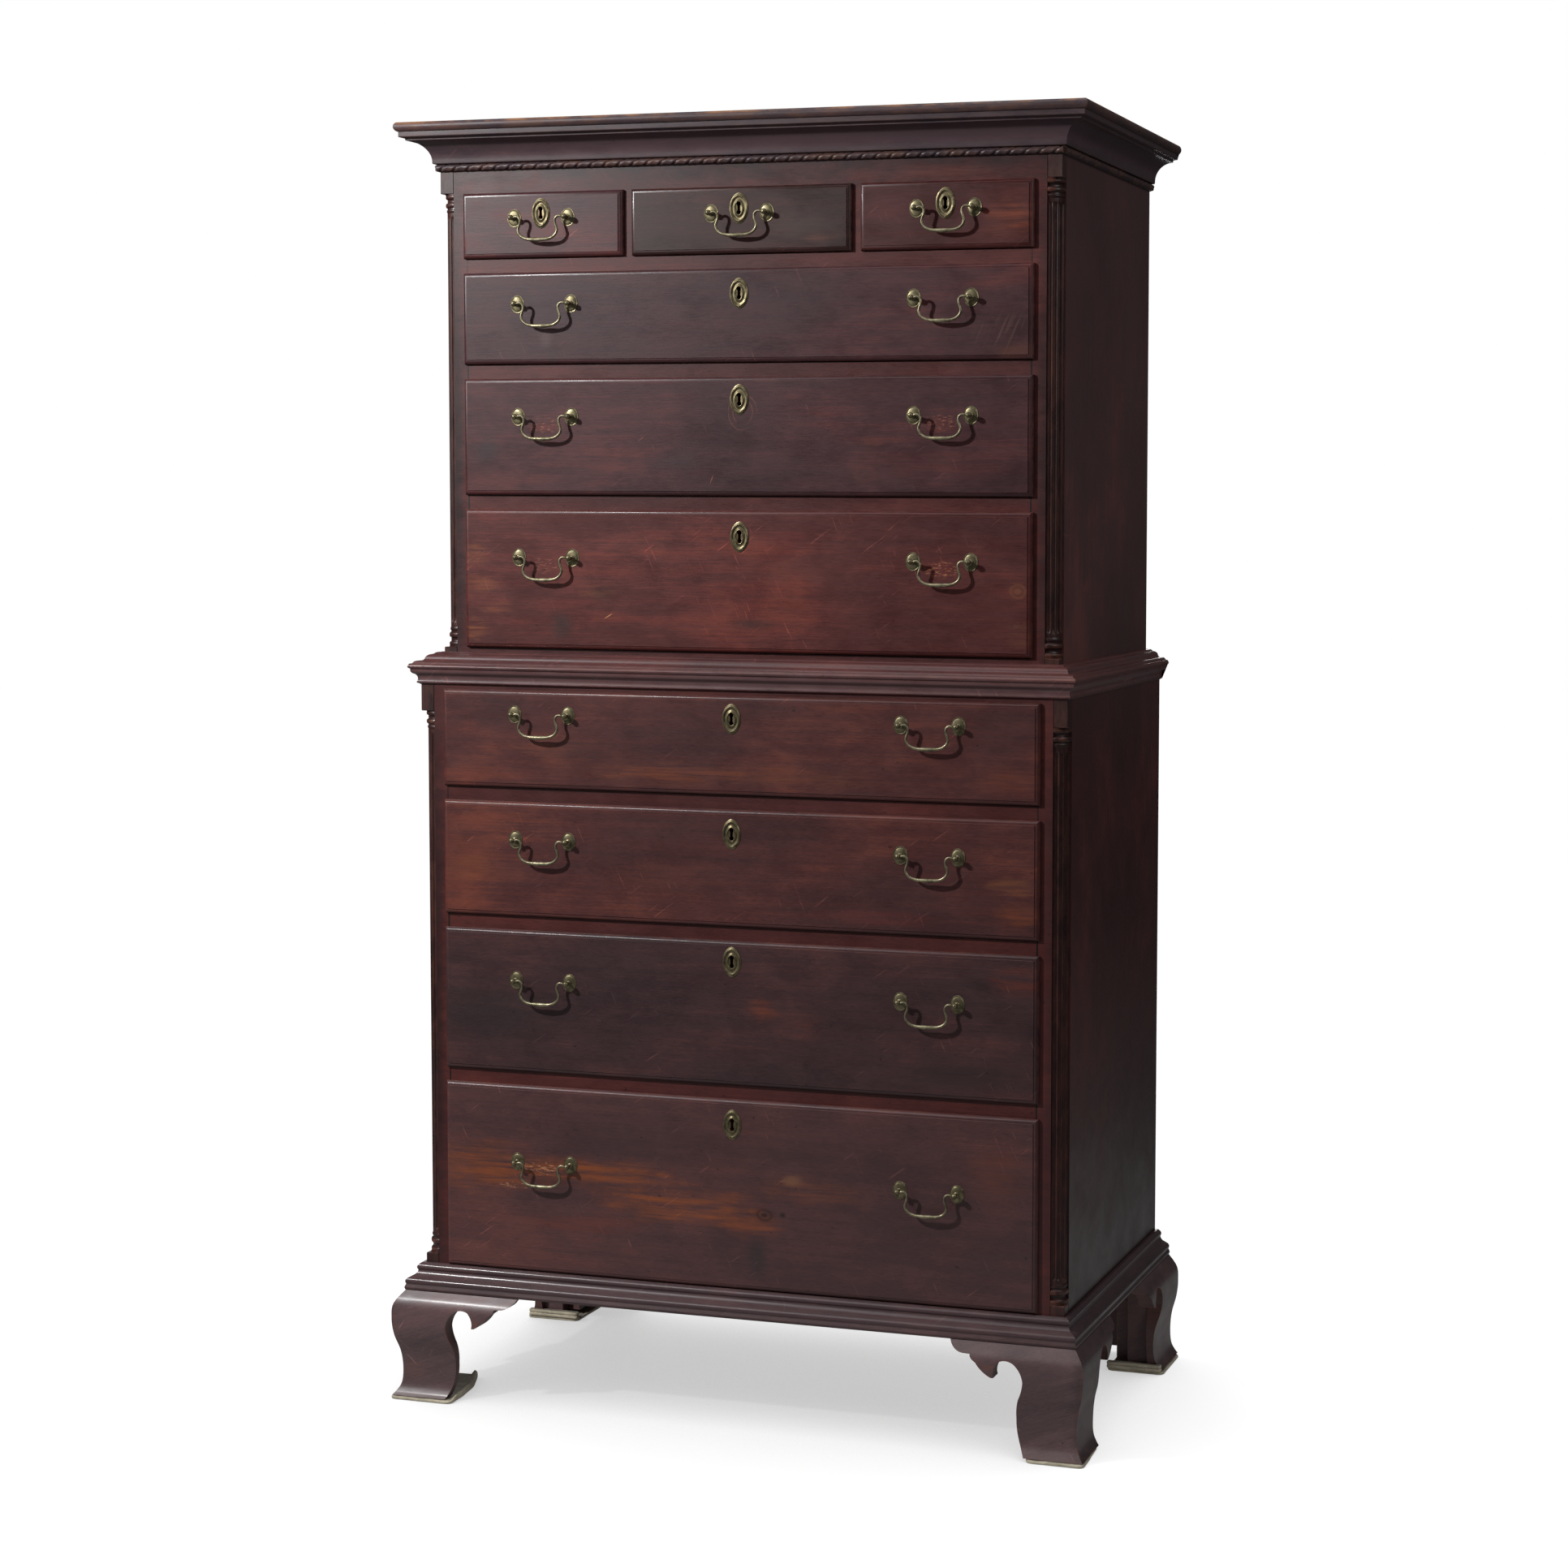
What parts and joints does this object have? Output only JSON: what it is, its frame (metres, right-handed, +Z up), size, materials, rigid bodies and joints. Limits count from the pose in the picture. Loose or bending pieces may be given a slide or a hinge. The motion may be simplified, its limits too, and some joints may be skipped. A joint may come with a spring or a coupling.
{
  "type": "chest on chest",
  "caption": "Two-part chest on chest: cove cornice with rope bead, fluted quarter columns, thumb-moulded lipped drawers with brass bails, waist moulding and ogee bracket feet.",
  "frame": {"origin": "on the floor, under the middle of the whole piece's box", "axes": "+X to the right seen from the front, +Y to the back, +Z up; the drawers open towards -Y"},
  "size_m": [1.128, 0.586, 1.9743],
  "materials": {
    "case_wood": "old dark red-brown varnish, half gloss",
    "side_wood": "old dark varnish, half gloss",
    "inner_wood": "bare pine and poplar, aged",
    "brass": "aged, olive gold",
    "felt": "matt felt"
  },
  "bodies": {
    "lower_chest": {"lower_left_side": "side_wood", "lower_right_side": "side_wood", "lower_back": "inner_wood", "lower_drawer_frame": "case_wood", "lower_left_quarter_column": "case_wood", "lower_right_quarter_column": "case_wood", "waist_moulding": "case_wood", "base_moulding": "case_wood", "front_left_foot": "case_wood", "front_right_foot": "case_wood", "rear_left_foot": "case_wood", "rear_right_foot": "case_wood", "front_left_pad": "felt", "front_right_pad": "felt", "rear_left_pad": "felt", "rear_right_pad": "felt"},
    "upper_chest": {"upper_left_side": "side_wood", "upper_right_side": "side_wood", "upper_back": "inner_wood", "upper_drawer_frame": "case_wood", "upper_left_quarter_column": "case_wood", "upper_right_quarter_column": "case_wood", "cornice": "case_wood"},
    "lower_drawer_4": {"lower_drawer_4_front": "case_wood", "lower_drawer_4_box": "inner_wood"},
    "lower_drawer_4_left_bail": {"lower_drawer_4_left_bail": "brass"},
    "lower_drawer_4_right_bail": {"lower_drawer_4_right_bail": "brass"},
    "lower_drawer_3": {"lower_drawer_3_front": "case_wood", "lower_drawer_3_box": "inner_wood"},
    "lower_drawer_3_left_bail": {"lower_drawer_3_left_bail": "brass"},
    "lower_drawer_3_right_bail": {"lower_drawer_3_right_bail": "brass"},
    "lower_drawer_2": {"lower_drawer_2_front": "case_wood", "lower_drawer_2_box": "inner_wood"},
    "lower_drawer_2_left_bail": {"lower_drawer_2_left_bail": "brass"},
    "lower_drawer_2_right_bail": {"lower_drawer_2_right_bail": "brass"},
    "lower_drawer_1": {"lower_drawer_1_front": "case_wood", "lower_drawer_1_box": "inner_wood"},
    "lower_drawer_1_left_bail": {"lower_drawer_1_left_bail": "brass"},
    "lower_drawer_1_right_bail": {"lower_drawer_1_right_bail": "brass"},
    "upper_drawer_3": {"upper_drawer_3_front": "case_wood", "upper_drawer_3_box": "inner_wood"},
    "upper_drawer_3_left_bail": {"upper_drawer_3_left_bail": "brass"},
    "upper_drawer_3_right_bail": {"upper_drawer_3_right_bail": "brass"},
    "upper_drawer_2": {"upper_drawer_2_front": "case_wood", "upper_drawer_2_box": "inner_wood"},
    "upper_drawer_2_left_bail": {"upper_drawer_2_left_bail": "brass"},
    "upper_drawer_2_right_bail": {"upper_drawer_2_right_bail": "brass"},
    "upper_drawer_1": {"upper_drawer_1_front": "case_wood", "upper_drawer_1_box": "inner_wood"},
    "upper_drawer_1_left_bail": {"upper_drawer_1_left_bail": "brass"},
    "upper_drawer_1_right_bail": {"upper_drawer_1_right_bail": "brass"},
    "small_left_drawer": {"small_left_drawer_front": "case_wood", "small_left_drawer_box": "inner_wood"},
    "small_left_drawer_bail": {"small_left_drawer_bail": "brass"},
    "small_centre_drawer": {"small_centre_drawer_front": "case_wood", "small_centre_drawer_box": "inner_wood"},
    "small_centre_drawer_bail": {"small_centre_drawer_bail": "brass"},
    "small_right_drawer": {"small_right_drawer_front": "case_wood", "small_right_drawer_box": "inner_wood"},
    "small_right_drawer_bail": {"small_right_drawer_bail": "brass"}
  },
  "joints": [
    {"name": "upper_case_lift", "type": "slide", "parent": "lower_chest", "child": "upper_chest", "axis": [0, 0, 1], "range_m": [0, 0.06]},
    {"name": "lower_drawer_4_slide", "type": "slide", "parent": "lower_chest", "child": "lower_drawer_4", "axis": [0, -1, 0], "range_m": [0, 0.4]},
    {"name": "lower_drawer_4_left_bail_swing", "type": "hinge", "parent": "lower_drawer_4", "child": "lower_drawer_4_left_bail", "pos_m": [-0.312, -0.271, 0.38251], "axis": [-1, 0, 0], "range_deg": [-15, 160]},
    {"name": "lower_drawer_4_right_bail_swing", "type": "hinge", "parent": "lower_drawer_4", "child": "lower_drawer_4_right_bail", "pos_m": [0.312, -0.271, 0.38251], "axis": [-1, 0, 0], "range_deg": [-15, 160]},
    {"name": "lower_drawer_3_slide", "type": "slide", "parent": "lower_chest", "child": "lower_drawer_3", "axis": [0, -1, 0], "range_m": [0, 0.4]},
    {"name": "lower_drawer_3_left_bail_swing", "type": "hinge", "parent": "lower_drawer_3", "child": "lower_drawer_3_left_bail", "pos_m": [-0.312, -0.271, 0.66513], "axis": [-1, 0, 0], "range_deg": [-15, 160]},
    {"name": "lower_drawer_3_right_bail_swing", "type": "hinge", "parent": "lower_drawer_3", "child": "lower_drawer_3_right_bail", "pos_m": [0.312, -0.271, 0.66513], "axis": [-1, 0, 0], "range_deg": [-15, 160]},
    {"name": "lower_drawer_2_slide", "type": "slide", "parent": "lower_chest", "child": "lower_drawer_2", "axis": [0, -1, 0], "range_m": [0, 0.4]},
    {"name": "lower_drawer_2_left_bail_swing", "type": "hinge", "parent": "lower_drawer_2", "child": "lower_drawer_2_left_bail", "pos_m": [-0.312, -0.271, 0.8821], "axis": [-1, 0, 0], "range_deg": [-15, 160]},
    {"name": "lower_drawer_2_right_bail_swing", "type": "hinge", "parent": "lower_drawer_2", "child": "lower_drawer_2_right_bail", "pos_m": [0.312, -0.271, 0.8821], "axis": [-1, 0, 0], "range_deg": [-15, 160]},
    {"name": "lower_drawer_1_slide", "type": "slide", "parent": "lower_chest", "child": "lower_drawer_1", "axis": [0, -1, 0], "range_m": [0, 0.4]},
    {"name": "lower_drawer_1_left_bail_swing", "type": "hinge", "parent": "lower_drawer_1", "child": "lower_drawer_1_left_bail", "pos_m": [-0.312, -0.271, 1.07479], "axis": [-1, 0, 0], "range_deg": [-15, 160]},
    {"name": "lower_drawer_1_right_bail_swing", "type": "hinge", "parent": "lower_drawer_1", "child": "lower_drawer_1_right_bail", "pos_m": [0.312, -0.271, 1.07479], "axis": [-1, 0, 0], "range_deg": [-15, 160]},
    {"name": "upper_drawer_3_slide", "type": "slide", "parent": "upper_chest", "child": "upper_drawer_3", "axis": [0, -1, 0], "range_m": [0, 0.4]},
    {"name": "upper_drawer_3_left_bail_swing", "type": "hinge", "parent": "upper_drawer_3", "child": "upper_drawer_3_left_bail", "pos_m": [-0.319, -0.238, 1.31381], "axis": [-1, 0, 0], "range_deg": [-15, 160]},
    {"name": "upper_drawer_3_right_bail_swing", "type": "hinge", "parent": "upper_drawer_3", "child": "upper_drawer_3_right_bail", "pos_m": [0.319, -0.238, 1.31381], "axis": [-1, 0, 0], "range_deg": [-15, 160]},
    {"name": "upper_drawer_2_slide", "type": "slide", "parent": "upper_chest", "child": "upper_drawer_2", "axis": [0, -1, 0], "range_m": [0, 0.4]},
    {"name": "upper_drawer_2_left_bail_swing", "type": "hinge", "parent": "upper_drawer_2", "child": "upper_drawer_2_left_bail", "pos_m": [-0.319, -0.238, 1.52822], "axis": [-1, 0, 0], "range_deg": [-15, 160]},
    {"name": "upper_drawer_2_right_bail_swing", "type": "hinge", "parent": "upper_drawer_2", "child": "upper_drawer_2_right_bail", "pos_m": [0.319, -0.238, 1.52822], "axis": [-1, 0, 0], "range_deg": [-15, 160]},
    {"name": "upper_drawer_1_slide", "type": "slide", "parent": "upper_chest", "child": "upper_drawer_1", "axis": [0, -1, 0], "range_m": [0, 0.4]},
    {"name": "upper_drawer_1_left_bail_swing", "type": "hinge", "parent": "upper_drawer_1", "child": "upper_drawer_1_left_bail", "pos_m": [-0.319, -0.238, 1.69915], "axis": [-1, 0, 0], "range_deg": [-15, 160]},
    {"name": "upper_drawer_1_right_bail_swing", "type": "hinge", "parent": "upper_drawer_1", "child": "upper_drawer_1_right_bail", "pos_m": [0.319, -0.238, 1.69915], "axis": [-1, 0, 0], "range_deg": [-15, 160]},
    {"name": "small_left_drawer_slide", "type": "slide", "parent": "upper_chest", "child": "small_left_drawer", "axis": [0, -1, 0], "range_m": [0, 0.4]},
    {"name": "small_left_drawer_bail_swing", "type": "hinge", "parent": "small_left_drawer", "child": "small_left_drawer_bail", "pos_m": [-0.32325, -0.238, 1.8292], "axis": [-1, 0, 0], "range_deg": [-15, 160]},
    {"name": "small_centre_drawer_slide", "type": "slide", "parent": "upper_chest", "child": "small_centre_drawer", "axis": [0, -1, 0], "range_m": [0, 0.4]},
    {"name": "small_centre_drawer_bail_swing", "type": "hinge", "parent": "small_centre_drawer", "child": "small_centre_drawer_bail", "pos_m": [0, -0.238, 1.8292], "axis": [-1, 0, 0], "range_deg": [-15, 160]},
    {"name": "small_right_drawer_slide", "type": "slide", "parent": "upper_chest", "child": "small_right_drawer", "axis": [0, -1, 0], "range_m": [0, 0.4]},
    {"name": "small_right_drawer_bail_swing", "type": "hinge", "parent": "small_right_drawer", "child": "small_right_drawer_bail", "pos_m": [0.32325, -0.238, 1.8292], "axis": [-1, 0, 0], "range_deg": [-15, 160]}
  ]
}
